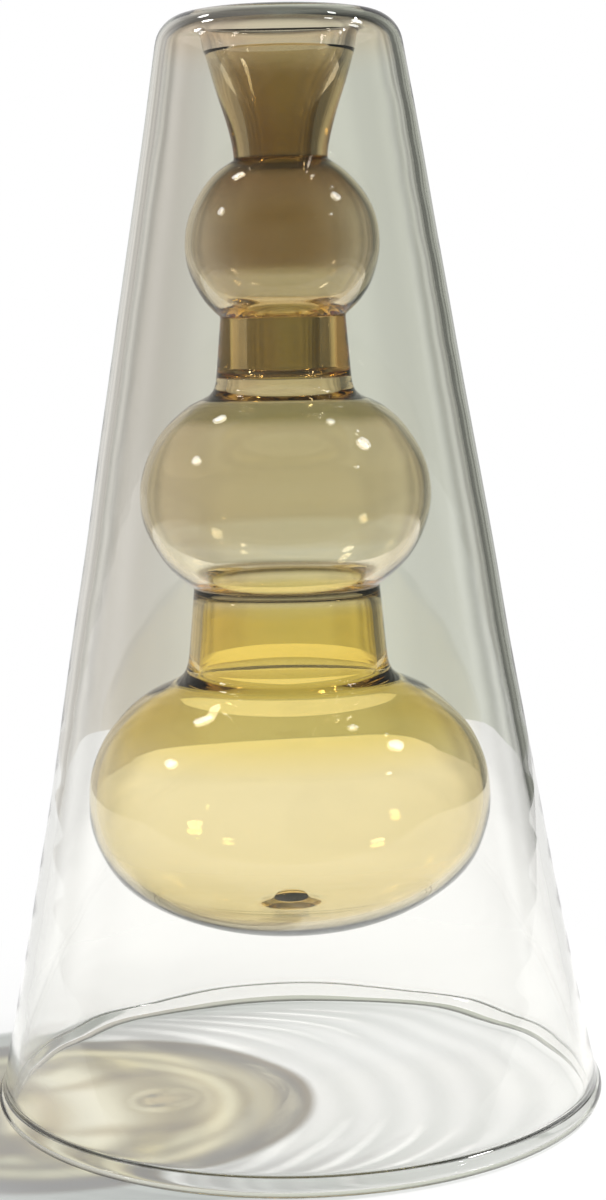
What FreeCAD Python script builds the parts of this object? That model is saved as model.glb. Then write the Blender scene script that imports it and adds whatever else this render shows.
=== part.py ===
import FreeCAD, Part
import math
import os

# Double walled glass vase: a clear conical outer glass with a gourd of amber glass hung inside it.
# Every piece is lathe-worked glass, round about the Z axis, and each one is fused to the next
# on a flat ring. Sizes in mm, foot on z = 0.

# Outer glass
overall_height = 210.2
foot_radius = 60.0
foot_bead_radius = 2.0
foot_contact_width = 1.6
shell_wall = 2.1
shell_shoulder_radius = 23.6
foot_flare = 1.3
foot_flare_height = 80.0

# Rolled shoulder and mouth
shoulder_bend_radius = 6.5
shoulder_skirt = 3.0
mouth_depth = 7.2
mouth_radius = 14.3

# Funnel
funnel_wall = 2.0
funnel_length = 20.2
throat_radius = 9.0
throat_wall = 3.2

# Upper bulb
upper_bulb_half_height = 17.9
upper_bulb_clearance = 9.0
upper_bulb_wall = 1.3

# Upper neck, of thick tube whose narrow bore ends in a step just above the foot
upper_neck_top_radius = 12.0
upper_neck_bottom_radius = 13.05
upper_neck_length = 12.0
upper_neck_wall = 5.0
upper_neck_foot_wall = 2.2
upper_bore_length = 10.4
upper_bore_step = 0.7

# Middle bulb
middle_bulb_half_height = 23.0
middle_bulb_clearance = 7.5
middle_bulb_wall = 1.3
middle_fillet_reach = 6.4
middle_fillet_drop = 5.6

# Lower neck, whose bore is narrowest at the top
lower_neck_top_radius = 18.15
lower_neck_bottom_radius = 19.4
lower_neck_length = 13.5
lower_neck_wall = 3.4
lower_neck_foot_wall = 2.1

# Lower bulb
lower_bulb_half_height = 26.9
lower_bulb_depth = 26.3
lower_bulb_clearance = 6.35
lower_bulb_wall = 1.4
lower_bulb_floor = 1.9
lower_fillet_reach = 8.6
lower_fillet_drop = 7.9
floor_pad_radius = 6.8
floor_pad_rise = 0.9

# Pinched-off end of the blown gather, left standing on the floor of the lower bulb
nib_radius = 3.6
nib_height = 2.4

# How full the outline of a bulb is: 2 is a true ellipse, more is squarer
round_power = 2.0
full_power = 2.15
flat_power = 2.3

# Shape of the free curves, as shares of the span from one end to the other
mouth_crest_share = 0.42
mouth_seam_share = 0.36
funnel_top_share = 0.44
funnel_throat_share = 0.24
bore_top_share = 0.2
bore_throat_share = 0.5
bore_flare_share = 0.2
bore_foot_share = 0.6
fillet_shares = (0.5, 0.5)
middle_bore_shares = (0.55, 0.6)
lower_bore_shares = (0.5, 0.9)
pad_edge_share = 0.3

# Slope of the cone, from the seat of the foot bead up to the bend of the shoulder
bead_middle_radius = foot_radius - foot_bead_radius
bead_middle_height = math.sqrt(foot_bead_radius ** 2 - (foot_contact_width / 2) ** 2)
bend_height = overall_height - shoulder_bend_radius
cone_run = bead_middle_radius + shell_wall / 2 - foot_flare - shell_shoulder_radius
cone_slope = cone_run / (bend_height - bead_middle_height)
cone_angle = math.atan(cone_slope)
shell_width = shell_wall / math.cos(cone_angle)
shell_foot_radius = bead_middle_radius + shell_width / 2
bead_seam_height = bead_middle_height + math.sqrt(foot_bead_radius ** 2 - (shell_width / 2) ** 2)
shell_seam_height = bend_height - shoulder_skirt
bend_middle_radius = shell_shoulder_radius - shoulder_bend_radius / math.cos(cone_angle)
flare_top_height = bead_seam_height + foot_flare_height


def cone_radius(height):
    """Outer radius of the straight part of the outer glass at a height."""
    return shell_shoulder_radius + cone_slope * (bend_height - height)


def oval_rise(radius, full_radius, half_height, power):
    """Height above the middle at which an oval of the given power has a radius."""
    return half_height * (1 - (radius / full_radius) ** power) ** (1 / power)


def oval_half_height(radius, rise, full_radius, power):
    """Half height of the oval that has a radius at a rise above its middle."""
    return rise / (1 - (radius / full_radius) ** power) ** (1 / power)


def hang(seam_radius, seam_height, half_height, clearance, power, rounds=12):
    """Radius and middle height of a bulb hung from a seam, with a clearance to the outer glass at its middle."""
    middle = seam_height - half_height
    for _ in range(rounds):
        radius = cone_radius(middle) - shell_width - clearance
        middle = seam_height - oval_rise(seam_radius, radius, half_height, power)
    return radius, middle


# Heights, from the mouth down to the crease under the upper bulb
mouth_seam_height = overall_height - mouth_depth
throat_height = mouth_seam_height - funnel_length
upper_bulb_radius, upper_bulb_middle = hang(
    throat_radius, throat_height, upper_bulb_half_height, upper_bulb_clearance, round_power)
upper_crease_height = upper_bulb_middle - oval_rise(
    upper_neck_top_radius, upper_bulb_radius, upper_bulb_half_height, round_power)
upper_neck_bottom_height = upper_crease_height - upper_neck_length

# The middle bulb hangs from the end of the fillet under the upper neck
middle_fillet_radius = upper_neck_bottom_radius + middle_fillet_reach
middle_fillet_height = upper_neck_bottom_height - middle_fillet_drop
middle_bulb_radius, middle_bulb_middle = hang(
    middle_fillet_radius, middle_fillet_height, middle_bulb_half_height, middle_bulb_clearance, round_power)
lower_crease_height = middle_bulb_middle - oval_rise(
    lower_neck_top_radius, middle_bulb_radius, middle_bulb_half_height, round_power)
lower_neck_bottom_height = lower_crease_height - lower_neck_length

# The lower bulb hangs in the same way under the lower neck
lower_fillet_radius = lower_neck_bottom_radius + lower_fillet_reach
lower_fillet_height = lower_neck_bottom_height - lower_fillet_drop
lower_bulb_radius, lower_bulb_middle = hang(
    lower_fillet_radius, lower_fillet_height, lower_bulb_half_height, lower_bulb_clearance, full_power)


def point(radius, height):
    """A point of a profile in the XZ plane."""
    return FreeCAD.Vector(radius, 0, height)


def line(start, end):
    """Straight edge of a profile."""
    return Part.makeLine(start, end)


def arc(middle, radius, start_angle, end_angle):
    """Round edge about a middle, between two angles from the horizontal."""
    mid_angle = (start_angle + end_angle) / 2
    places = [
        middle + point(radius * math.cos(angle), radius * math.sin(angle))
        for angle in (start_angle, mid_angle, end_angle)
    ]
    return Part.Arc(*places).toShape()


def blend(start, start_direction, start_share, end, end_direction, end_share):
    """Smooth edge that leaves and meets its ends along two directions."""
    span = (end - start).Length
    curve = Part.BezierCurve()
    curve.setPoles([
        start,
        start + FreeCAD.Vector(start_direction).normalize() * (span * start_share),
        end - FreeCAD.Vector(end_direction).normalize() * (span * end_share),
        end,
    ])
    return curve.toShape()


def oval(full_radius, half_height, middle, power, end_radius, side, steps=6):
    """Quarter of a bulb's outline, from its widest point to an end radius, above (1) or below (-1) its middle."""
    end_angle = math.atan2(oval_rise(end_radius, full_radius, half_height, power), end_radius)
    places = []
    for step in range(steps + 1):
        across = math.cos(end_angle * step / steps)
        up = math.sin(end_angle * step / steps)
        reach = ((across / full_radius) ** power + (up / half_height) ** power) ** (-1 / power)
        places.append(point(reach * across, middle + side * reach * up))
    if end_radius == 0:
        places[-1] = point(0, middle + side * half_height)
    curve = Part.BSplineCurve()
    curve.interpolate(
        Points=places,
        InitialTangent=point(0, side),
        FinalTangent=oval_direction(full_radius, half_height, power, end_radius, side),
    )
    return curve.toShape()


def oval_direction(full_radius, half_height, power, end_radius, side):
    """Direction in which a bulb's outline runs at an end radius, on the way to the axis."""
    rise = oval_rise(end_radius, full_radius, half_height, power)
    across = (rise / half_height) ** (power - 1) / half_height
    along = (end_radius / full_radius) ** (power - 1) / full_radius
    return point(-across, side * along)


def turn(edges):
    """Solid of revolution about the Z axis from the closed profile that the edges make."""
    wire = Part.Wire(Part.__sortEdges__(edges))
    solid = Part.Face(wire).revolve(point(0, 0), FreeCAD.Vector(0, 0, 1), 360)
    return solid


def outer_cone():
    """Clear straight cone, a little flared towards the foot."""
    line_foot_radius = cone_radius(bead_seam_height)
    flare_end_radius = cone_radius(flare_top_height)
    flare_direction = point(-cone_slope, 1)
    foot_slope = cone_slope + 2 * (shell_foot_radius - line_foot_radius) / foot_flare_height
    foot_direction = point(-foot_slope, 1)
    sides = []
    for inset in (0, shell_width):
        foot = point(shell_foot_radius - inset, bead_seam_height)
        flare_end = point(flare_end_radius - inset, flare_top_height)
        top = point(cone_radius(shell_seam_height) - inset, shell_seam_height)
        sides.append(blend(foot, foot_direction, 1 / 3, flare_end, flare_direction, 1 / 3))
        sides.append(line(flare_end, top))
    bottom = line(
        point(shell_foot_radius, bead_seam_height), point(shell_foot_radius - shell_width, bead_seam_height))
    seam_radius = cone_radius(shell_seam_height)
    top = line(point(seam_radius, shell_seam_height), point(seam_radius - shell_width, shell_seam_height))
    return turn(sides + [bottom, top])


def foot_bead():
    """Thick fire-polished ring round the open foot, ground flat where it stands."""
    middle = point(bead_middle_radius, bead_middle_height)
    half_wall = shell_width / 2
    half_contact = foot_contact_width / 2
    seam_angle = math.acos(half_wall / foot_bead_radius)
    contact_angle = -math.acos(half_contact / foot_bead_radius)
    outside = arc(middle, foot_bead_radius, contact_angle, seam_angle)
    inside = arc(middle, foot_bead_radius, math.pi - seam_angle, math.pi - contact_angle)
    seam = line(
        point(bead_middle_radius - half_wall, bead_seam_height), point(bead_middle_radius + half_wall, bead_seam_height))
    contact = line(point(bead_middle_radius - half_contact, 0), point(bead_middle_radius + half_contact, 0))
    return turn([outside, inside, seam, contact])


def funnel_direction():
    """Direction in which the flank of the funnel leaves the mouth, on the way down."""
    return point(throat_radius - mouth_radius, -funnel_length)


def rolled_shoulder():
    """Clear shoulder that rolls over the crest and down into the mouth."""
    middle = point(bend_middle_radius, bend_height)
    inner_bend_radius = shoulder_bend_radius - shell_wall
    right_angle = math.pi / 2
    seam_radius = cone_radius(shell_seam_height)
    outer_bend = arc(middle, shoulder_bend_radius, cone_angle, right_angle)
    inner_bend = arc(middle, inner_bend_radius, cone_angle, right_angle)
    outer_start = outer_bend.Vertexes[0].Point
    inner_start = inner_bend.Vertexes[0].Point
    outer_skirt = line(point(seam_radius, shell_seam_height), outer_start)
    inner_skirt = line(point(seam_radius - shell_width, shell_seam_height), inner_start)
    seam = line(point(seam_radius - shell_width, shell_seam_height), point(seam_radius, shell_seam_height))
    inward = point(-1, 0)
    mouth_outer = point(mouth_radius, mouth_seam_height)
    mouth_inner = point(mouth_radius - funnel_wall, mouth_seam_height)
    mouth_side = blend(
        point(bend_middle_radius, overall_height), inward, mouth_crest_share,
        mouth_inner, funnel_direction(), mouth_seam_share)
    under_side = blend(
        point(bend_middle_radius, overall_height - shell_wall), inward, mouth_crest_share,
        mouth_outer, funnel_direction(), mouth_seam_share)
    mouth_seam = line(mouth_inner, mouth_outer)
    return turn([outer_skirt, outer_bend, mouth_side, mouth_seam, under_side, inner_bend, inner_skirt, seam])


def mouth_funnel():
    """Amber funnel under the mouth, its flank a little hollow and its wall thicker towards the throat."""
    down = point(0, -1)
    throat_inner = throat_radius - throat_wall
    outside = blend(
        point(mouth_radius, mouth_seam_height), funnel_direction(), funnel_top_share,
        point(throat_radius, throat_height), down, funnel_throat_share)
    bore = blend(
        point(mouth_radius - funnel_wall, mouth_seam_height), funnel_direction(), bore_top_share,
        point(throat_inner, throat_height), down, bore_throat_share)
    top = line(point(mouth_radius, mouth_seam_height), point(mouth_radius - funnel_wall, mouth_seam_height))
    bottom = line(point(throat_radius, throat_height), point(throat_inner, throat_height))
    return turn([outside, bore, top, bottom])


def upper_bulb():
    """Smallest bulb, with a crisp crease where it meets the funnel and the neck."""
    inner_radius = upper_bulb_radius - upper_bulb_wall
    throat_inner = throat_radius - throat_wall
    neck_inner = upper_neck_top_radius - upper_neck_wall
    top_half = oval_half_height(throat_inner, throat_height - upper_bulb_middle, inner_radius, round_power)
    bottom_half = oval_half_height(neck_inner, upper_bulb_middle - upper_crease_height, inner_radius, round_power)
    return turn([
        oval(upper_bulb_radius, upper_bulb_half_height, upper_bulb_middle, round_power, throat_radius, 1),
        oval(upper_bulb_radius, upper_bulb_half_height, upper_bulb_middle, round_power, upper_neck_top_radius, -1),
        oval(inner_radius, top_half, upper_bulb_middle, round_power, throat_inner, 1),
        oval(inner_radius, bottom_half, upper_bulb_middle, round_power, neck_inner, -1),
        line(point(throat_radius, throat_height), point(throat_inner, throat_height)),
        line(point(upper_neck_top_radius, upper_crease_height), point(neck_inner, upper_crease_height)),
    ])


def upper_neck():
    """Length of thick tube under the upper bulb, its narrow bore ending in a step just above the foot."""
    bore_radius = upper_neck_top_radius - upper_neck_wall
    foot_bore_radius = upper_neck_bottom_radius - upper_neck_foot_wall
    step_height = upper_crease_height - upper_bore_length
    bore = [
        point(upper_neck_top_radius, upper_crease_height),
        point(bore_radius, upper_crease_height),
        point(bore_radius, step_height),
        point(foot_bore_radius - upper_bore_step, step_height - upper_bore_step),
        point(foot_bore_radius, step_height - 2 * upper_bore_step),
        point(foot_bore_radius, upper_neck_bottom_height),
        point(upper_neck_bottom_radius, upper_neck_bottom_height),
    ]
    return turn([line(start, end) for start, end in zip(bore, bore[1:] + bore[:1])])


def lower_neck():
    """Length of tube under the middle bulb, its bore opening out from the thick crease."""
    bore_radius = lower_neck_top_radius - lower_neck_wall
    foot_bore_radius = lower_neck_bottom_radius - lower_neck_foot_wall
    half_outwards = point(1, -1)
    along_neck = point(lower_neck_bottom_radius - lower_neck_top_radius, -lower_neck_length)
    return turn([
        line(point(lower_neck_top_radius, lower_crease_height),
             point(lower_neck_bottom_radius, lower_neck_bottom_height)),
        blend(point(bore_radius, lower_crease_height), half_outwards, bore_flare_share,
              point(foot_bore_radius, lower_neck_bottom_height), along_neck, bore_foot_share),
        line(point(lower_neck_top_radius, lower_crease_height), point(bore_radius, lower_crease_height)),
        line(point(lower_neck_bottom_radius, lower_neck_bottom_height),
             point(foot_bore_radius, lower_neck_bottom_height)),
    ])


def fillet(neck_radius, neck_height, neck_direction, shares, bulb, end_radius):
    """Hollow curve from the end of a neck out to a bulb's shoulder, and the shoulder down to the widest point."""
    full_radius, half_height, middle, power = bulb
    shoulder = oval(full_radius, half_height, middle, power, end_radius, 1)
    end = point(end_radius, middle + oval_rise(end_radius, full_radius, half_height, power))
    outward = oval_direction(full_radius, half_height, power, end_radius, 1) * -1
    curve = blend(
        point(neck_radius, neck_height), neck_direction, shares[0],
        end, outward, shares[1])
    return [curve, shoulder]


def middle_bulb():
    """Middle bulb, flowing out of the upper neck and drawn in to a crisp crease below."""
    inner_radius = middle_bulb_radius - middle_bulb_wall
    neck_inner = upper_neck_bottom_radius - upper_neck_foot_wall
    crease_inner = lower_neck_top_radius - lower_neck_wall
    neck_direction = point(upper_neck_bottom_radius - upper_neck_top_radius, -upper_neck_length)
    outer = (middle_bulb_radius, middle_bulb_half_height, middle_bulb_middle, round_power)
    inner = (inner_radius, middle_bulb_half_height - middle_bulb_wall, middle_bulb_middle, round_power)
    bottom_half = oval_half_height(crease_inner, middle_bulb_middle - lower_crease_height, inner_radius, round_power)
    edges = fillet(
        upper_neck_bottom_radius, upper_neck_bottom_height, neck_direction, fillet_shares, outer,
        middle_fillet_radius)
    edges += fillet(
        neck_inner, upper_neck_bottom_height, point(0, -1), middle_bore_shares, inner,
        middle_fillet_radius - middle_bulb_wall)
    edges += [
        oval(middle_bulb_radius, middle_bulb_half_height, middle_bulb_middle, round_power, lower_neck_top_radius, -1),
        oval(inner_radius, bottom_half, middle_bulb_middle, round_power, crease_inner, -1),
        line(point(upper_neck_bottom_radius, upper_neck_bottom_height), point(neck_inner, upper_neck_bottom_height)),
        line(point(lower_neck_top_radius, lower_crease_height), point(crease_inner, lower_crease_height)),
    ]
    return turn(edges)


def floor_height():
    """Height of the inside of the lower bulb's floor at the edge of its thick middle."""
    inner_radius = lower_bulb_radius - lower_bulb_wall
    inner_depth = lower_bulb_depth - lower_bulb_floor
    return lower_bulb_middle - oval_rise(floor_pad_radius, inner_radius, inner_depth, flat_power)


def lower_bulb():
    """Largest bulb, flattened below, with a floor that is thickest about the axis."""
    inner_radius = lower_bulb_radius - lower_bulb_wall
    inner_half = lower_bulb_half_height - lower_bulb_wall
    inner_depth = lower_bulb_depth - lower_bulb_floor
    neck_inner = lower_neck_bottom_radius - lower_neck_foot_wall
    neck_direction = point(lower_neck_bottom_radius - lower_neck_top_radius, -lower_neck_length)
    outer = (lower_bulb_radius, lower_bulb_half_height, lower_bulb_middle, full_power)
    inner = (inner_radius, inner_half, lower_bulb_middle, full_power)
    pad_edge = point(floor_pad_radius, floor_height())
    pad_top = point(nib_radius, floor_height() + floor_pad_rise)
    pad_centre = point(0, floor_height() + floor_pad_rise)
    edge_direction = oval_direction(inner_radius, inner_depth, flat_power, floor_pad_radius, -1)
    bottom = point(0, lower_bulb_middle - lower_bulb_depth)
    edges = fillet(
        lower_neck_bottom_radius, lower_neck_bottom_height, neck_direction, fillet_shares, outer,
        lower_fillet_radius)
    edges += fillet(
        neck_inner, lower_neck_bottom_height, neck_direction, lower_bore_shares, inner,
        lower_fillet_radius - lower_bulb_wall)
    edges += [
        oval(lower_bulb_radius, lower_bulb_depth, lower_bulb_middle, flat_power, 0, -1),
        oval(inner_radius, inner_depth, lower_bulb_middle, flat_power, floor_pad_radius, -1),
        blend(pad_edge, edge_direction, pad_edge_share, pad_top, point(-1, 0), pad_edge_share),
        line(pad_top, pad_centre),
        line(pad_centre, bottom),
        line(point(lower_neck_bottom_radius, lower_neck_bottom_height), point(neck_inner, lower_neck_bottom_height)),
    ]
    return turn(edges)


def pinch_off_nib():
    """Small domed lump of glass on the floor of the lower bulb."""
    seat = floor_height() + floor_pad_rise
    base = point(nib_radius, seat)
    top = point(0, seat + nib_height)
    dome = oval(nib_radius, nib_height, seat, round_power, 0, 1)
    return turn([dome, line(base, point(0, seat)), line(point(0, seat), top)])


pieces = {
    "outer_cone": outer_cone(),
    "foot_bead": foot_bead(),
    "rolled_shoulder": rolled_shoulder(),
    "mouth_funnel": mouth_funnel(),
    "upper_bulb": upper_bulb(),
    "upper_neck": upper_neck(),
    "middle_bulb": middle_bulb(),
    "lower_neck": lower_neck(),
    "lower_bulb": lower_bulb(),
    "pinch_off_nib": pinch_off_nib(),
}

os.makedirs("parts", exist_ok=True)
for name, shape in pieces.items():
    shape.exportStep("parts/" + name + ".step")
    print(name, shape.ShapeType, "valid" if shape.isValid() else "not valid", round(shape.Volume))
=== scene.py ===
import math

import bpy
import numpy as np
from mathutils import Matrix


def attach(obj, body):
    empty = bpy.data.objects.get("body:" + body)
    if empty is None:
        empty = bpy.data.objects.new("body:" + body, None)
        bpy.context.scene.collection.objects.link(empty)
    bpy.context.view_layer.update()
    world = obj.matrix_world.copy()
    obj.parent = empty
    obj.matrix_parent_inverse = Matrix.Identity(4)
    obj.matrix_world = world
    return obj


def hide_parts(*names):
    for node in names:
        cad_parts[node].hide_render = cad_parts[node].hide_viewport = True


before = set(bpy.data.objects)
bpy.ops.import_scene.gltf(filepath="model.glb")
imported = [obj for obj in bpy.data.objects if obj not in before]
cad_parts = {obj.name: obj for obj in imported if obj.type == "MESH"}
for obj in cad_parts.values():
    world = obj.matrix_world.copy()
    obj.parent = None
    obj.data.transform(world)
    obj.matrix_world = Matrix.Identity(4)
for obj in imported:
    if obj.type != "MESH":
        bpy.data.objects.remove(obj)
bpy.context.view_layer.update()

# Outer glass
# A clear cone of borosilicate tube, drawn out wide below and flared a little at the foot. Its foot is
# fire polished into a thick bead, ground flat where it stands, and its shoulder is rolled over the crest
# and down into the mouth, where the amber gourd is fused on.
mm = 0.001
overall_height = 210.2
foot_radius = 60.0
foot_bead_radius = 2.0
foot_contact_width = 1.6
shell_wall = 2.1
shell_shoulder_radius = 23.6
foot_flare = 1.3
foot_flare_height = 80.0
shoulder_bend_radius = 6.5
mouth_depth = 7.2
mouth_radius = 14.3
mouth_wall = 2.0
mouth_crest_share = 0.42
mouth_seam_share = 0.36
funnel_length = 20.2
throat_radius = 9.0
fused_seam_gap = 0.01
ring_pitch = 9.5
crease_angle = math.radians(50)

bead_middle_radius = foot_radius - foot_bead_radius
bead_middle_height = math.sqrt(foot_bead_radius ** 2 - (foot_contact_width / 2) ** 2)
bend_height = overall_height - shoulder_bend_radius
cone_slope = (bead_middle_radius + shell_wall / 2 - foot_flare - shell_shoulder_radius) / (
    bend_height - bead_middle_height)
cone_angle = math.atan(cone_slope)
shell_width = shell_wall / math.cos(cone_angle)
bead_seam_height = bead_middle_height + math.sqrt(foot_bead_radius ** 2 - (shell_width / 2) ** 2)
bend_middle_radius = shell_shoulder_radius - shoulder_bend_radius / math.cos(cone_angle)
mouth_seam_height = overall_height - mouth_depth
flank_way = np.array([throat_radius - mouth_radius, -funnel_length])


def cone_radius(height):
    """Outer radius of the straight cone at a height: the shoulder's radius plus the slope times the drop."""
    return shell_shoulder_radius + cone_slope * (bend_height - height)


def round_line(middle, radius, start_angle, end_angle, steps=160):
    """Arc of a circle, by cosine and sine of an angle that runs from start to end."""
    angle = np.linspace(start_angle, end_angle, steps)[:, None]
    return np.array(middle) + radius * np.hstack([np.cos(angle), np.sin(angle)])


def free_line(start, start_way, start_share, end, end_way, end_share, steps=240):
    """Cubic Bezier line whose handles run along the two end directions, each a share of the span long."""
    start, end = np.array(start, float), np.array(end, float)
    span = np.linalg.norm(end - start)
    first = start + np.array(start_way) / np.linalg.norm(start_way) * span * start_share
    last = end - np.array(end_way) / np.linalg.norm(end_way) * span * end_share
    t = np.linspace(0, 1, steps)[:, None]
    return (1 - t) ** 3 * start + 3 * (1 - t) ** 2 * t * first + 3 * (1 - t) * t ** 2 * last + t ** 3 * end


def fire_polished(lines, softness, step=0.05):
    """Joins lines end to end, walks them in even steps and rounds every corner with a Gaussian weight."""
    path = np.vstack([np.array(line, float) for line in lines])
    gone = np.concatenate([[0], np.cumsum(np.linalg.norm(np.diff(path, axis=0), axis=1))])
    apart = np.concatenate([[True], np.diff(gone) > 1e-9])
    path, gone = path[apart], gone[apart]
    even = np.linspace(0, gone[-1], int(gone[-1] / step) + 1)
    path = np.column_stack([np.interp(even, gone, path[:, k]) for k in (0, 1)])
    reach = int(4 * softness / step)
    weight = np.exp(-0.5 * (np.arange(-reach, reach + 1) * step / softness) ** 2)
    longer = np.vstack([2 * path[0] - path[reach:0:-1], path, 2 * path[-1] - path[-2:-reach - 2:-1]])
    return np.column_stack([np.convolve(longer[:, k], weight / weight.sum(), "valid") for k in (0, 1)])


def spaced_by_bend(path, count, pull=9.0):
    """Picks points along a path, closer together where the path turns more per millimetre."""
    way = np.gradient(path, axis=0)
    length = np.linalg.norm(way, axis=1)
    angle = np.unwrap(np.arctan2(way[:, 1], way[:, 0]))
    turning = np.abs(np.gradient(angle)) / length
    turning = np.convolve(np.minimum(turning, 2.0), np.ones(15) / 15, "same")
    crowd = np.cumsum(length * (1 + pull * turning))
    places = np.interp(np.linspace(crowd[0], crowd[-1], count), crowd, np.arange(len(path)))
    return np.column_stack([np.interp(places, np.arange(len(path)), path[:, k]) for k in (0, 1)])


def hand_worked(angle, height, swing, seed):
    """Small swing of the wall in mm that a hand-turned tube keeps: four slow waves round and up it, added."""
    draw = np.random.default_rng(seed)
    total = 0
    for turns, pitch in ((2, 95.0), (3, 60.0), (5, 41.0), (8, 27.0)):
        phase, lean = draw.uniform(0, 2 * math.pi, 2)
        total = total + np.sin(turns * angle + 2 * math.pi * height / pitch + phase) * np.cos(lean) / turns
    return swing * total


def lathe(name, profile, tint_share, ripple, around, swing, seed, lean=0.0, lean_from=0.0):
    """Closed glass skin: the profile of radius and height is carried round the axis in even steps. Each point
    goes out by the hand-worked swing, and aside by the lean times its depth under lean_from. The rings left
    from turning are a sine of the height over their pitch, put out of true by two slow waves round the
    glass. Row by row, ripple says how far in mm they stand out, which throws the rings of light on the
    table, and tint_share how much of the glass's own tint the skin shows."""
    radius, height = profile[:, :1], profile[:, 1:]
    angle = np.linspace(0, 2 * math.pi, around, endpoint=False)[None, :]
    untrue = 0.7 * np.sin(2 * angle) + 0.4 * np.sin(3 * angle + 1)
    rings = np.sin(2 * math.pi * height / ring_pitch + untrue)
    worked = hand_worked(angle, height, swing, seed) + ripple[:, None] * rings
    out = radius + worked * np.clip(radius / 8, 0, 1)
    grid = np.stack([
        out * np.cos(angle) - lean * np.maximum(lean_from - height, 0),
        out * np.sin(angle),
        np.broadcast_to(height, out.shape)], axis=-1)
    from_pole = profile[0, 0] < 1e-9
    row = np.arange(len(profile) - 1 if from_pole else len(profile))
    column = np.arange(around)
    a = row[:, None] * around + column[None, :]
    b = row[:, None] * around + (column[None, :] + 1) % around
    up = (row[:, None] + 1) % len(profile) * around
    faces = np.stack([a, b, up + (column[None, :] + 1) % around, up + column[None, :]], axis=-1)
    faces = faces.reshape(-1, 4)
    vertices = grid.reshape(-1, 3)
    mesh = bpy.data.meshes.new(name)
    if from_pole:
        # each pole is one point: the first and last rows are drawn together, and their faces are triangles
        first, last = grid[0].mean(axis=0), grid[-1].mean(axis=0)
        vertices = np.vstack([first, grid[1:-1].reshape(-1, 3), last])
        faces = faces.reshape(len(row), around, 4)[1:-1].reshape(-1, 4) - around + 1
        tip = len(vertices) - 1
        near = np.column_stack([np.zeros(around, int), 1 + (column + 1) % around, 1 + column])
        far = tip - around + np.column_stack([column, (column + 1) % around, np.full(around, around)])
        faces = faces.tolist() + near.tolist() + far.tolist()
    else:
        faces = faces.tolist()
    mesh.from_pydata((vertices * mm).tolist(), [], faces)
    mesh.update()
    share = np.repeat(tint_share, around).astype(np.float32)
    if from_pole:
        share = np.concatenate([share[:1], share[around:-around], share[-1:]])
    mesh.attributes.new("tint_share", "FLOAT", "POINT").data.foreach_set("value", share)
    mesh.polygons.foreach_set("use_smooth", np.ones(len(mesh.polygons), bool))
    mesh.set_sharp_from_angle(angle=crease_angle)
    glass = bpy.data.objects.new(name, mesh)
    bpy.context.scene.collection.objects.link(glass)
    glass.visible_diffuse = False
    glass.cycles.is_caustics_caster = True
    return glass


shell_foot_radius = bead_middle_radius + shell_width / 2
flare_top_height = bead_seam_height + foot_flare_height
foot_way = [-cone_slope - 2 * (shell_foot_radius - cone_radius(bead_seam_height)) / foot_flare_height, 1]
seam_angle = math.acos(shell_width / 2 / foot_bead_radius)
contact_angle = math.acos(foot_contact_width / 2 / foot_bead_radius)
bead_middle = (bead_middle_radius, bead_middle_height)
bend_middle = (bend_middle_radius, bend_height)
# Both sides of the wall, outside first: the flare at the foot, the bend over the crest with the straight cone
# between them, and the way down to the seam in the mouth. The bead joins them below.
sides = []
for inset, bend_radius, mouth_edge in (
        (0, shoulder_bend_radius, mouth_radius - mouth_wall),
        (shell_width, shoulder_bend_radius - shell_wall, mouth_radius)):
    crest_height = bend_height + bend_radius
    sides.append([
        free_line(
            (shell_foot_radius - inset, bead_seam_height), foot_way, 1 / 3,
            (cone_radius(flare_top_height) - inset, flare_top_height), (-cone_slope, 1), 1 / 3),
        round_line(bend_middle, bend_radius, cone_angle, math.pi / 2),
        free_line(
            (bend_middle_radius, crest_height), (-1, 0), mouth_crest_share,
            (mouth_edge, mouth_seam_height + fused_seam_gap), flank_way, mouth_seam_share)])
bead = [
    round_line(bead_middle, foot_bead_radius, -contact_angle, seam_angle),
    round_line(bead_middle, foot_bead_radius, math.pi - seam_angle, math.pi + contact_angle)]
outside = fire_polished([bead[0]] + sides[0], softness=0.35)
inside = fire_polished([bead[1][::-1]] + sides[1], softness=0.35)
shell_rows = 150
outer_profile = np.vstack([spaced_by_bend(outside, shell_rows), spaced_by_bend(inside, shell_rows)[::-1]])
outer_glass = lathe(
    "outer_glass", outer_profile, tint_share=np.repeat([0, 1], shell_rows),
    ripple=np.repeat([0, 0.016], shell_rows), around=288, swing=0.2, seed=3)


def new_node(tree, kind, inputs=(), **settings):
    """Adds a node with its settings. Each input is given a plain value or is linked to a socket."""
    node = tree.nodes.new(kind)
    for setting, value in settings.items():
        setattr(node, setting, value)
    for key, value in dict(inputs).items():
        if isinstance(value, bpy.types.NodeSocket):
            tree.links.new(value, node.inputs[key])
        else:
            node.inputs[key].default_value = value
    return node


def arithmetic(tree, operation, *values):
    """One step of arithmetic on sockets or numbers."""
    return new_node(tree, "ShaderNodeMath", enumerate(values), operation=operation).outputs[0]


def blended(tree, share, first, second):
    """The first colour where the share is 0, the second where it is 1, and their even mix between."""
    mix = new_node(tree, "ShaderNodeMix", {0: share, 6: first, 7: second}, data_type="RGBA")
    return mix.outputs[2]


def ramp_over(tree, value, stops, interpolation="LINEAR"):
    """Colour that runs through the stops as a value goes from 0 to 1, from pairs of place and colour."""
    node = new_node(tree, "ShaderNodeValToRGB", {"Fac": value})
    node.color_ramp.interpolation = interpolation
    elements = node.color_ramp.elements
    for k, (place, colour) in enumerate(stops):
        stop = elements[k] if k < 2 else elements.new(place)
        stop.position, stop.color = place, colour
    return node


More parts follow.
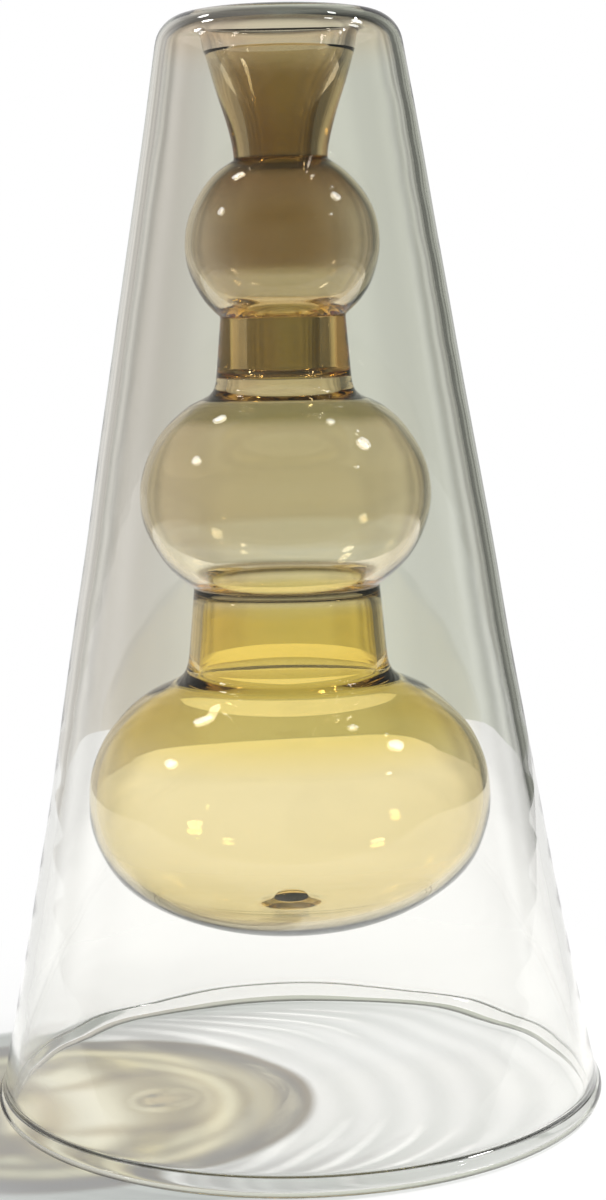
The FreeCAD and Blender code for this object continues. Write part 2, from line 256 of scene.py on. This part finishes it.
def glass_finish(name, bands, depth_colour, depth_density, streak, shadow_rings, ring_depth):
    """Smooth glass: a clear skin with faint drawn streaks, and a body that takes up light by its depth. The
    skin's tint runs in bands of height, times the mesh's tint_share, and thins towards the flanks down to
    the share in each band's alpha, which is painted light: the flanks come out lighter, as if lit from the
    sides. Its shadow is light where the lamp shines straight through and darker in rings where the glass
    bends the light away, by the slope of the skin to the light, to which the rings left from turning add
    a little."""
    material = bpy.data.materials.new(name)
    material.use_nodes = True
    tree = material.node_tree
    place = new_node(tree, "ShaderNodeTexCoord").outputs["Object"]
    slope = new_node(tree, "ShaderNodeLayerWeight").outputs["Facing"]

    # faint streaks, drawn out upwards
    drawn_out = new_node(tree, "ShaderNodeMapping", {"Vector": place, "Scale": (1.0, 1.0, 0.12)})
    waves = new_node(tree, "ShaderNodeTexNoise", {
        "Vector": drawn_out.outputs["Vector"], "Scale": 70.0, "Detail": 1.0})
    relief = new_node(tree, "ShaderNodeBump", {
        "Height": waves.outputs["Fac"], "Strength": streak, "Distance": 0.1 * mm})

    # tint in bands of height, thinner at the flanks, which paints the flanks lighter
    height = new_node(tree, "ShaderNodeSeparateXYZ", {"Vector": place}).outputs["Z"]
    height_share = new_node(tree, "ShaderNodeMapRange", {
        "Value": height, "From Min": 0.0, "From Max": overall_height * mm}).outputs["Result"]
    tint = ramp_over(tree, height_share, [(at / overall_height, colour) for at, colour in bands])
    painted_flank_light = new_node(tree, "ShaderNodeMapRange", {
        "Value": slope, "From Min": 0.05, "From Max": 0.40, "To Min": 1.0, "To Max": tint.outputs["Alpha"]})
    tint_share = new_node(tree, "ShaderNodeAttribute", attribute_name="tint_share").outputs["Fac"]
    cast = arithmetic(tree, "MULTIPLY", tint_share, painted_flank_light.outputs["Result"])
    untinted = (0.99, 0.98, 0.94, 1)
    skin = tree.nodes["Principled BSDF"]
    skin.inputs["Roughness"].default_value = 0.0
    skin.inputs["IOR"].default_value = 1.47
    skin.inputs["Transmission Weight"].default_value = 1.0
    tree.links.new(blended(tree, cast, untinted, tint.outputs["Color"]), skin.inputs["Base Color"])
    tree.links.new(relief.outputs["Normal"], skin.inputs["Normal"])

    # what the shadow lets through
    rings = new_node(tree, "ShaderNodeTexWave", {
        "Vector": place, "Scale": 30.0, "Distortion": 3.0, "Detail": 1.0, "Detail Scale": 0.6},
        bands_direction="Z")
    bent = arithmetic(tree, "MULTIPLY_ADD", rings.outputs["Fac"], ring_depth, slope)
    shade = ramp_over(tree, bent, [(at, (*colour, 1)) for at, colour in shadow_rings])
    let_through = new_node(tree, "ShaderNodeBsdfTransparent", {"Color": shade.outputs["Color"]})
    either = new_node(tree, "ShaderNodeMixShader", {
        "Fac": new_node(tree, "ShaderNodeLightPath").outputs["Is Shadow Ray"],
        1: skin.outputs["BSDF"], 2: let_through.outputs["BSDF"]})

    out = tree.nodes["Material Output"]
    tree.links.new(either.outputs["Shader"], out.inputs["Surface"])
    body = new_node(tree, "ShaderNodeVolumeAbsorption", {"Color": depth_colour, "Density": depth_density})
    tree.links.new(body.outputs["Volume"], out.inputs["Volume"])
    return material


# The clear glass is water white, and takes on a breath of amber in the mouth where the funnel is fused on
water_white, amber_breath = (1, 1, 1, 1), (1.0, 0.88, 0.74, 1)
clear_bands = [
    (0, water_white), (mouth_seam_height - 3, water_white), (mouth_seam_height + 3, amber_breath)]
clear_shadow = (
    (0, (1.0, 1.0, 0.995)), (0.3, (0.985, 0.985, 0.98)), (0.6, (0.90, 0.905, 0.90)),
    (0.95, (0.72, 0.74, 0.72)))
outer_glass.data.materials.append(glass_finish(
    "clear_borosilicate", clear_bands, depth_colour=(0.62, 0.66, 0.64, 1), depth_density=22.0, streak=0.2,
    shadow_rings=clear_shadow, ring_depth=0.35))
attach(outer_glass, "root")
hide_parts("outer_cone", "foot_bead", "rolled_shoulder")

# Amber gourd
# A funnel, three bulbs and the two lengths of thick tube between them, blown in one amber glass and hung
# from the mouth. The glass is thick at the funnel and the necks and thin at the widest places, each bulb
# is creased above the neck below it, and the floor keeps the lump where the gather was pinched off.
throat_height = mouth_seam_height - funnel_length
throat_wall = 3.2
funnel_wall = mouth_wall
funnel_top_share = 0.44
funnel_throat_share = 0.24
bore_top_share, bore_throat_share = 0.2, 0.5
upper_bulb_half_height = 17.9
upper_bulb_clearance = 9.0
upper_bulb_wall = 1.3
upper_neck_top_radius = 12.0
upper_neck_bottom_radius = 13.05
upper_neck_length = 12.0
upper_neck_wall = 5.0
upper_neck_foot_wall = 2.2
upper_bore_length = 10.4
upper_bore_step = 0.7
middle_bulb_half_height = 23.0
middle_bulb_clearance = 7.5
middle_bulb_wall = 1.3
middle_fillet_reach = 6.4
middle_fillet_drop = 5.6
lower_neck_top_radius = 18.15
lower_neck_bottom_radius = 19.4
lower_neck_length = 13.5
lower_neck_wall = 3.4
lower_neck_foot_wall = 2.1
lower_bulb_half_height = 26.9
lower_bulb_depth = 26.3
lower_bulb_clearance = 6.35
lower_bulb_wall = 1.4
lower_bulb_floor = 1.9
lower_fillet_reach = 8.6
lower_fillet_drop = 7.9
floor_pad_radius = 6.8
floor_pad_rise = 0.9
nib_radius = 3.6
nib_height = 2.4
round_power, full_power, flat_power = 2.0, 2.15, 2.3
bore_flare_share, bore_foot_share = 0.2, 0.6
fillet_shares = (0.5, 0.5)
middle_bore_shares = (0.55, 0.6)
lower_bore_shares = (0.5, 0.9)
pad_edge_share = 0.3
gourd_lean = math.radians(0.36)


def oval_rise(radius, full_radius, half_height, power):
    """Height above the middle at which an oval of the given power has a radius."""
    return half_height * (1 - (radius / full_radius) ** power) ** (1 / power)


def oval_line(full_radius, half_height, middle, power, end_radius, side, steps=240):
    """Quarter of a bulb's outline: round the polar angle, the reach is that of the superellipse of the two
    half axes."""
    end_angle = math.atan2(oval_rise(end_radius, full_radius, half_height, power), end_radius)
    angle = np.linspace(0, end_angle, steps)
    across, up = np.maximum(np.cos(angle), 0), np.sin(angle)
    reach = ((across / full_radius) ** power + (up / half_height) ** power) ** (-1 / power)
    line = np.column_stack([reach * across, middle + side * reach * up])
    if end_radius == 0:
        line[-1] = (0, middle + side * half_height)
    return line


def oval_way(full_radius, half_height, power, end_radius, side):
    """Direction in which a bulb's outline runs at an end radius, on the way to the axis."""
    rise = oval_rise(end_radius, full_radius, half_height, power)
    return np.array([
        -(rise / half_height) ** (power - 1) / half_height,
        side * (end_radius / full_radius) ** (power - 1) / full_radius])


def hang(seam_radius, seam_height, half_height, clearance, power, rounds=12):
    """Radius and middle height of a bulb hung from a seam, with a clearance to the cone at its middle."""
    middle = seam_height - half_height
    for _ in range(rounds):
        radius = cone_radius(middle) - shell_width - clearance
        middle = seam_height - oval_rise(seam_radius, radius, half_height, power)
    return radius, middle


upper_radius, upper_middle = hang(
    throat_radius, throat_height, upper_bulb_half_height, upper_bulb_clearance, round_power)
upper_crease_height = upper_middle - oval_rise(
    upper_neck_top_radius, upper_radius, upper_bulb_half_height, round_power)
upper_neck_bottom_height = upper_crease_height - upper_neck_length
middle_fillet_radius = upper_neck_bottom_radius + middle_fillet_reach
middle_radius, middle_middle = hang(
    middle_fillet_radius, upper_neck_bottom_height - middle_fillet_drop,
    middle_bulb_half_height, middle_bulb_clearance, round_power)
lower_crease_height = middle_middle - oval_rise(
    lower_neck_top_radius, middle_radius, middle_bulb_half_height, round_power)
lower_neck_bottom_height = lower_crease_height - lower_neck_length
lower_fillet_radius = lower_neck_bottom_radius + lower_fillet_reach
lower_radius, lower_middle = hang(
    lower_fillet_radius, lower_neck_bottom_height - lower_fillet_drop,
    lower_bulb_half_height, lower_bulb_clearance, full_power)


def half_to_meet(radius, rise, full_radius, power):
    """Half height of the oval that has a radius at a rise above its middle."""
    return rise / (1 - (radius / full_radius) ** power) ** (1 / power)


def shoulder_lines(neck_radius, neck_height, neck_way, shares, full_radius, half_height, middle, power,
                   end_radius):
    """Hollow fillet from a neck out to a bulb, and the bulb's shoulder down to its widest point."""
    end = (end_radius, middle + oval_rise(end_radius, full_radius, half_height, power))
    outward = -oval_way(full_radius, half_height, power, end_radius, 1)
    return [
        free_line((neck_radius, neck_height), neck_way, shares[0], end, outward, shares[1]),
        oval_line(full_radius, half_height, middle, power, end_radius, 1)[::-1]]


# The skin outside: funnel, upper bulb, neck, middle bulb, neck and lower bulb, down to the axis
gourd_top = mouth_seam_height - fused_seam_gap
upper_way = (upper_neck_bottom_radius - upper_neck_top_radius, -upper_neck_length)
lower_way = (lower_neck_bottom_radius - lower_neck_top_radius, -lower_neck_length)
skin_outside = [
    free_line((mouth_radius, gourd_top), flank_way, funnel_top_share,
              (throat_radius, throat_height), (0, -1), funnel_throat_share),
    oval_line(upper_radius, upper_bulb_half_height, upper_middle, round_power, throat_radius, 1)[::-1],
    oval_line(upper_radius, upper_bulb_half_height, upper_middle, round_power, upper_neck_top_radius, -1),
    *shoulder_lines(upper_neck_bottom_radius, upper_neck_bottom_height, upper_way, fillet_shares,
                    middle_radius, middle_bulb_half_height, middle_middle, round_power, middle_fillet_radius),
    oval_line(middle_radius, middle_bulb_half_height, middle_middle, round_power, lower_neck_top_radius, -1),
    *shoulder_lines(lower_neck_bottom_radius, lower_neck_bottom_height, lower_way, fillet_shares,
                    lower_radius, lower_bulb_half_height, lower_middle, full_power, lower_fillet_radius),
    oval_line(lower_radius, lower_bulb_depth, lower_middle, flat_power, 0, -1)]

# The skin inside, in the same order, then the thick floor and the pinched-off lump on it
upper_inner, middle_inner = upper_radius - upper_bulb_wall, middle_radius - middle_bulb_wall
lower_inner, lower_inner_depth = lower_radius - lower_bulb_wall, lower_bulb_depth - lower_bulb_floor
throat_inner = throat_radius - throat_wall
upper_neck_inner = upper_neck_top_radius - upper_neck_wall
upper_neck_foot_inner = upper_neck_bottom_radius - upper_neck_foot_wall
upper_bore_height = upper_crease_height - upper_bore_length
lower_neck_inner = lower_neck_top_radius - lower_neck_wall
lower_neck_foot_inner = lower_neck_bottom_radius - lower_neck_foot_wall
pad_height = lower_middle - oval_rise(floor_pad_radius, lower_inner, lower_inner_depth, flat_power)
pad_top = pad_height + floor_pad_rise
skin_inside = [
    free_line((mouth_radius - funnel_wall, gourd_top), flank_way, bore_top_share,
              (throat_inner, throat_height), (0, -1), bore_throat_share),
    oval_line(upper_inner, half_to_meet(throat_inner, throat_height - upper_middle, upper_inner, round_power),
              upper_middle, round_power, throat_inner, 1)[::-1],
    oval_line(upper_inner, half_to_meet(upper_neck_inner, upper_middle - upper_crease_height, upper_inner,
                                        round_power), upper_middle, round_power, upper_neck_inner, -1),
    [(upper_neck_inner, upper_crease_height), (upper_neck_inner, upper_bore_height)],
    [(upper_neck_foot_inner - upper_bore_step, upper_bore_height - upper_bore_step),
     (upper_neck_foot_inner, upper_bore_height - 2 * upper_bore_step)],
    *shoulder_lines(upper_neck_foot_inner, upper_neck_bottom_height, (0, -1), middle_bore_shares,
                    middle_inner, middle_bulb_half_height - middle_bulb_wall, middle_middle, round_power,
                    middle_fillet_radius - middle_bulb_wall),
    oval_line(middle_inner, half_to_meet(lower_neck_inner, middle_middle - lower_crease_height, middle_inner,
                                         round_power), middle_middle, round_power, lower_neck_inner, -1),
    free_line((lower_neck_inner, lower_crease_height), (1, -1), bore_flare_share,
              (lower_neck_foot_inner, lower_neck_bottom_height), lower_way, bore_foot_share),
    *shoulder_lines(lower_neck_foot_inner, lower_neck_bottom_height, lower_way, lower_bore_shares,
                    lower_inner, lower_bulb_half_height - lower_bulb_wall, lower_middle, full_power,
                    lower_fillet_radius - lower_bulb_wall),
    oval_line(lower_inner, lower_inner_depth, lower_middle, flat_power, floor_pad_radius, -1),
    free_line((floor_pad_radius, pad_height), oval_way(lower_inner, lower_inner_depth, flat_power,
              floor_pad_radius, -1), pad_edge_share, (nib_radius, pad_top), (-1, 0), pad_edge_share),
    oval_line(nib_radius, nib_height, pad_top, round_power, 0, 1)]
rows_outside, rows_inside = 200, 160
outside = spaced_by_bend(fire_polished(skin_outside, softness=0.3), rows_outside)[::-1]
inside = spaced_by_bend(fire_polished(skin_inside, softness=0.3), rows_inside)
outside[0, 0] = inside[-1, 0] = 0

# The tint is on the inside. Outside it is faint, stronger on the funnel and full in the creases, where the
# glass was pinched: there the full tint is painted shade for the dark crease lines.
outer_heights = outside[:, 1]
outer_tint = np.interp(
    outer_heights,
    [lower_crease_height - 1, lower_crease_height + 1,
     upper_neck_bottom_height - 1, upper_neck_bottom_height + 1,
     upper_crease_height - 1, upper_crease_height + 1, throat_height - 1, throat_height + 1],
    [0.3, 0.05, 0.05, 0.2, 0.2, 0.1, 0.1, 0.4])
# painted shade: each crease gets the full tint on the outer skin as well, a dark line
for crease_height, half_width in (
        (throat_height, 0.7), (upper_crease_height, 0.5), (lower_crease_height + 0.1, 1.1)):
    crease_shade_line = np.exp(-((outer_heights - crease_height) / half_width) ** 2)
    outer_tint = np.maximum(outer_tint, crease_shade_line)
amber_gourd = lathe(
    "amber_gourd", np.vstack([outside, inside]), tint_share=np.append(outer_tint, np.ones(rows_inside)),
    ripple=np.repeat([0, 0.012], [rows_outside, rows_inside]), around=256, swing=0.1, seed=11,
    lean=gourd_lean, lean_from=mouth_seam_height)

# The colours of the amber, each with the share of it that the flanks keep, and where each stands. The
# near-black crease bands are painted shade, and the umber band darkens the upper bulb with painted shade.
straw, gold = (1.0, 0.94, 0.70, 1), (0.96, 0.82, 0.27, 1)
# painted_crease_shade is a near-black band painted at each crease, standing in for the dark line of shade
# there
painted_crease_shade, cream = (0.10, 0.07, 0.02, 1), (1.0, 1.0, 0.96, 1)
sand, moss = (0.84, 0.75, 0.54, 0.6), (0.41, 0.37, 0.19, 0.9)
smoke, beige = (0.36, 0.305, 0.12, 1), (0.68, 0.58, 0.38, 0.6)
# umber_and_painted_shade is the amber darkened with painted shade over the upper bulb's middle and up
umber_and_painted_shade, bark = (0.33, 0.215, 0.085, 0.35), (0.28, 0.16, 0.05, 0.9)
burnt, toffee = (0.31, 0.20, 0.04, 0.9), (0.38, 0.27, 0.08, 0.9)
amber_bands = [
    (pad_height, straw), (lower_middle + 9, straw), (lower_middle + 15, gold),
    (lower_crease_height - 5, gold), (lower_crease_height - 2.5, straw), (lower_crease_height - 1.5, straw),
    (lower_crease_height - 0.9, painted_crease_shade), (lower_crease_height + 0.3, painted_crease_shade), (lower_crease_height + 1.1, cream),
    (middle_middle - 8, cream), (middle_middle - 7, sand),
    (upper_neck_bottom_height - 9.5, sand), (upper_neck_bottom_height - 7.5, moss),
    (upper_neck_bottom_height - 4.7, moss), (upper_neck_bottom_height - 3.9, sand),
    (upper_bore_height - 0.9, sand), (upper_bore_height - 0.1, smoke),
    (upper_crease_height - 0.6, smoke), (upper_crease_height + 0.6, beige),
    (upper_middle - 6, beige), (upper_middle - 5, umber_and_painted_shade), (upper_middle + 5, umber_and_painted_shade),
    (throat_height - 3, bark), (throat_height - 0.6, painted_crease_shade), (throat_height + 0.2, painted_crease_shade),
    (throat_height + 1, burnt), (throat_height + 5, burnt),
    (throat_height + 11, toffee), (gourd_top - 5, toffee), (gourd_top, beige)]

# Round bulbs gather the lamp's light into rings on the table: each pair is a slope of the skin to the
# light, 0 where it faces the lamp, and the light that gets through there.
amber_shadow = (
    (0, (1.0, 1.0, 0.98)), (0.055, (1.0, 1.0, 0.98)), (0.08, (0.70, 0.64, 0.48)),
    (0.105, (1.0, 1.0, 0.96)), (0.16, (1.0, 1.0, 0.95)), (0.20, (0.56, 0.51, 0.34)),
    (0.235, (0.60, 0.55, 0.38)), (0.28, (1.0, 1.0, 0.93)), (0.38, (1.0, 0.99, 0.92)),
    (0.46, (0.52, 0.47, 0.29)), (0.9, (0.35, 0.30, 0.16)))
amber_gourd.data.materials.append(glass_finish(
    "amber_glass", amber_bands, depth_colour=(0.92, 0.72, 0.20, 1), depth_density=100.0, streak=0.1,
    shadow_rings=amber_shadow, ring_depth=0.03))
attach(amber_gourd, "root")
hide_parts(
    "mouth_funnel", "upper_bulb", "upper_neck", "middle_bulb", "lower_neck", "lower_bulb",
    "pinch_off_nib")

# Table top
# A plain white table with a far edge. Round the vase it keeps the shadow, and further off it is the
# photograph's plain white. Through the glass it shows a painted pool of lamplight in the middle, where
# the table's own glow is brighter.
table_reach = 0.43
table_front_reach = 0.12
table_half_width = 0.43
shadow_fades_from, shadow_gone_at = 0.066, 0.13
pool_edge_from, pool_edge_to = 0.075, 0.105
painted_pool_glow, off_pool = 1.12, 0.87
edge_points = 128
turn = np.linspace(0, 2 * math.pi, edge_points, endpoint=False)
rim = np.column_stack([
    table_half_width * np.cos(turn),
    np.where(turn < math.pi, table_reach, table_front_reach) * np.sin(turn),
    np.zeros(edge_points)])
table = bpy.data.meshes.new("table_top")
table.from_pydata(rim.tolist(), [], [list(range(edge_points))])
table_top = bpy.data.objects.new("table_top", table)
bpy.context.scene.collection.objects.link(table_top)


def eased(tree, value, low, high, at_low, at_high):
    """Soft step from one level to another as a value goes from low to high."""
    step = new_node(tree, "ShaderNodeMapRange", {
        "Value": value, "From Min": low, "From Max": high, "To Min": at_low, "To Max": at_high},
        interpolation_type="SMOOTHSTEP")
    return step.outputs["Result"]


white_top = bpy.data.materials.new("white_top")
white_top.use_nodes = True
tree = white_top.node_tree
tree.nodes.remove(tree.nodes["Principled BSDF"])
place = new_node(tree, "ShaderNodeTexCoord").outputs["Object"]
across = new_node(tree, "ShaderNodeSeparateXYZ", {"Vector": place}).outputs["X"]
# painted pool of lamplight: the table's glow is brighter near the middle, for rays through the glass
painted_pool_level = eased(tree, arithmetic(tree, "ABSOLUTE", across), pool_edge_from, pool_edge_to, painted_pool_glow, off_pool)
strength = new_node(tree, "ShaderNodeMapRange", {
    "Value": new_node(tree, "ShaderNodeLightPath").outputs["Is Camera Ray"],
    "To Min": painted_pool_level, "To Max": 1.0}).outputs["Result"]
far_white = new_node(tree, "ShaderNodeEmission", {"Strength": strength})
matt = new_node(tree, "ShaderNodeBsdfDiffuse", {"Color": (0.93, 0.93, 0.925, 1)})
from_axis = new_node(tree, "ShaderNodeVectorMath", {0: place}, operation="LENGTH").outputs["Value"]
top = new_node(tree, "ShaderNodeMixShader", {
    "Fac": eased(tree, from_axis, shadow_fades_from, shadow_gone_at, 0.0, 1.0),
    1: matt.outputs["BSDF"], 2: far_white.outputs["Emission"]})
tree.links.new(top.outputs["Shader"], tree.nodes["Material Output"].inputs["Surface"])
table.materials.append(white_top)
table_top.cycles.is_caustics_receiver = True

# Room
# The camera sees plain white paper. Through the glass stands a pale wall behind the table, greyer on the
# right, that falls into shade up to the ceiling and has a painted pool of light straight behind the vase.
# What the glass mirrors is a dark room with bright openings.
wall_grey, wall_lilac = (0.60, 0.62, 0.55, 1), (0.63, 0.60, 0.55, 1)
studio_grey, paper_white = (0.27, 0.27, 0.27, 1), (1, 1, 1, 1)
world = bpy.data.worlds.new("pale_room")
bpy.context.scene.world = world
world.use_nodes = True
tree = world.node_tree
rays = new_node(tree, "ShaderNodeLightPath")
compass = new_node(tree, "ShaderNodeSeparateXYZ", {
    "Vector": new_node(tree, "ShaderNodeTexCoord").outputs["Generated"]})
side_on = arithmetic(tree, "ARCTAN2", compass.outputs["X"], compass.outputs["Y"])
bearing = arithmetic(tree, "ABSOLUTE", side_on)


def bearing_ramp(levels, reach):
    """Brightness over the bearing, up to a reach on both sides, from pairs of bearing and brightness."""
    way_round = new_node(tree, "ShaderNodeMapRange", {
        "Value": side_on, "From Min": -reach, "From Max": reach}).outputs["Result"]
    stops = [(0.5 + 0.5 * angle / reach, (level, level, level, 1)) for angle, level in levels]
    return ramp_over(tree, way_round, stops, "EASE").outputs["Color"]


def scaled(colour, level):
    """A colour times a brightness."""
    return new_node(tree, "ShaderNodeVectorMath", {0: colour, "Scale": level}, operation="SCALE").outputs[0]


# Off to the sides the wall has upright stripes of light and shade, which the edges of the glass squeeze
# into thin streaks. Each pair is a bearing in radians, left below zero, and a brightness. Behind the
# viewer the room is half light.
stripes = (
    (-0.90, 0.60), (-0.72, 0.62), (-0.62, 0.90), (-0.54, 0.70), (-0.45, 1.10), (-0.38, 0.72), (-0.31, 1.12),
    (-0.25, 0.78), (-0.19, 1.08), (-0.13, 0.98), (0.11, 1.00), (0.16, 1.12), (0.21, 0.80), (0.26, 1.12),
    (0.31, 0.62), (0.37, 0.95), (0.43, 0.35), (0.50, 0.60), (0.58, 0.25), (0.90, 0.25))
striped = arithmetic(tree, "MAXIMUM", bearing_ramp(stripes, 0.9), eased(tree, bearing, 1.7, 2.3, 0.0, 0.55))
# painted pool of light: the wall is a little brighter straight behind the vase
painted_wall_pool = eased(tree, bearing, 0.06, 0.09, 1.12, 1.0)
ceiling = eased(tree, compass.outputs["Z"], 0.20, 0.55, 1.0, 0.28)
wall_light = arithmetic(tree, "MULTIPLY", painted_wall_pool, arithmetic(tree, "MULTIPLY", striped, ceiling))
wall_side = eased(tree, compass.outputs["X"], -0.16, 0.02, 0.0, 1.0)
wall = scaled(blended(tree, wall_side, wall_lilac, wall_grey), wall_light)

# The mirrored openings, most of them on the left: each pair is a bearing and a brightness
openings = (
    (-3.14, 0.08), (-2.40, 0.10), (-1.90, 0.40), (-1.62, 0.12), (-1.36, 0.85), (-1.16, 0.25), (-0.94, 1.00),
    (-0.76, 0.50), (-0.56, 0.90), (-0.25, 0.60), (0.35, 0.35), (0.52, 0.04), (0.84, 0.06), (0.98, 0.60),
    (1.12, 0.12), (1.26, 0.85), (1.40, 0.15), (1.90, 0.30), (2.30, 0.08), (3.14, 0.08))
dim_above = eased(tree, compass.outputs["Z"], 0.45, 0.75, 1.15, 0.10)
mirrored = scaled(bearing_ramp(openings, math.pi), dim_above)

lit_by = blended(tree, rays.outputs["Is Glossy Ray"], studio_grey, mirrored)
room = blended(tree, rays.outputs["Is Transmission Ray"], lit_by, wall)
paper = blended(tree, rays.outputs["Is Camera Ray"], room, paper_white)
tree.links.new(paper, tree.nodes["Background"].inputs["Color"])

# Lamps
# A small bright box overhead to the right throws the rings and the shadow. A soft glow stands beside it, a
# broad soft box on the left, and small lamps further off whose sparks show on the bulbs. Each row is a
# lamp's direction from the vase, its distance and width in metres, and its watts.
lamps = (
    ("key_box", (0.61, 0.15, 0.78), 0.90, 0.03, 7.9),
    ("key_glow", (0.70, 0.04, 0.70), 0.95, 0.14, 0.8),
    ("side_box", (-0.82, -0.04, 0.56), 1.00, 0.12, 0.7),
    ("right_spark", (0.39, 0.12, 0.91), 1.00, 0.08, 0.35),
    ("left_spark", (-0.46, 0.36, 0.80), 1.00, 0.11, 0.5),
    ("low_spark", (0.75, -0.35, 0.50), 1.10, 0.05, 0.2),
)
aim = np.array([0, 0, 0.1])
for name, towards, distance, size, watts in lamps:
    lamp = bpy.data.lights.new(name, "AREA")
    lamp.shape = "DISK"
    lamp.size = size
    lamp.energy = watts
    back = np.array(towards) / np.linalg.norm(towards)
    side = np.cross((0, 0, 1), back)
    side /= np.linalg.norm(side)
    turn = Matrix(np.column_stack([side, np.cross(back, side), back]).tolist())
    holder = bpy.data.objects.new(name, lamp)
    holder.matrix_world = Matrix.Translation((aim + back * distance).tolist()) @ turn.to_4x4()
    holder.visible_camera = False
    lamp.cycles.is_caustics_light = name == "key_box"
    bpy.context.scene.collection.objects.link(holder)

# Camera
# Where the photograph was taken from: 448 mm in front and 158 mm up, looking 7.5 degrees down, and held
# about a degree out of level.
camera = bpy.data.cameras.new("camera")
camera.lens = 69.46
camera.sensor_width = 36.0
viewer = bpy.data.objects.new("camera", camera)
look_down, look_right, out_of_level = math.radians(7.54), math.radians(0.313), 0.0197
viewer.matrix_world = (
    Matrix.Translation((0, -448.35 * mm, 157.63 * mm))
    @ Matrix.Rotation(-look_right, 4, "Z")
    @ Matrix.Rotation(math.pi / 2 - look_down, 4, "X")
    @ Matrix.Rotation(-out_of_level, 4, "Z"))
bpy.context.scene.collection.objects.link(viewer)
bpy.context.scene.camera = viewer

# Light passes both walls of every bulb and of the cone, so it may be bent many times
scene = bpy.context.scene
scene.view_settings.view_transform = "Standard"
scene.cycles.max_bounces = 24
scene.cycles.transmission_bounces = 24
scene.cycles.glossy_bounces = 8
scene.cycles.transparent_max_bounces = 32
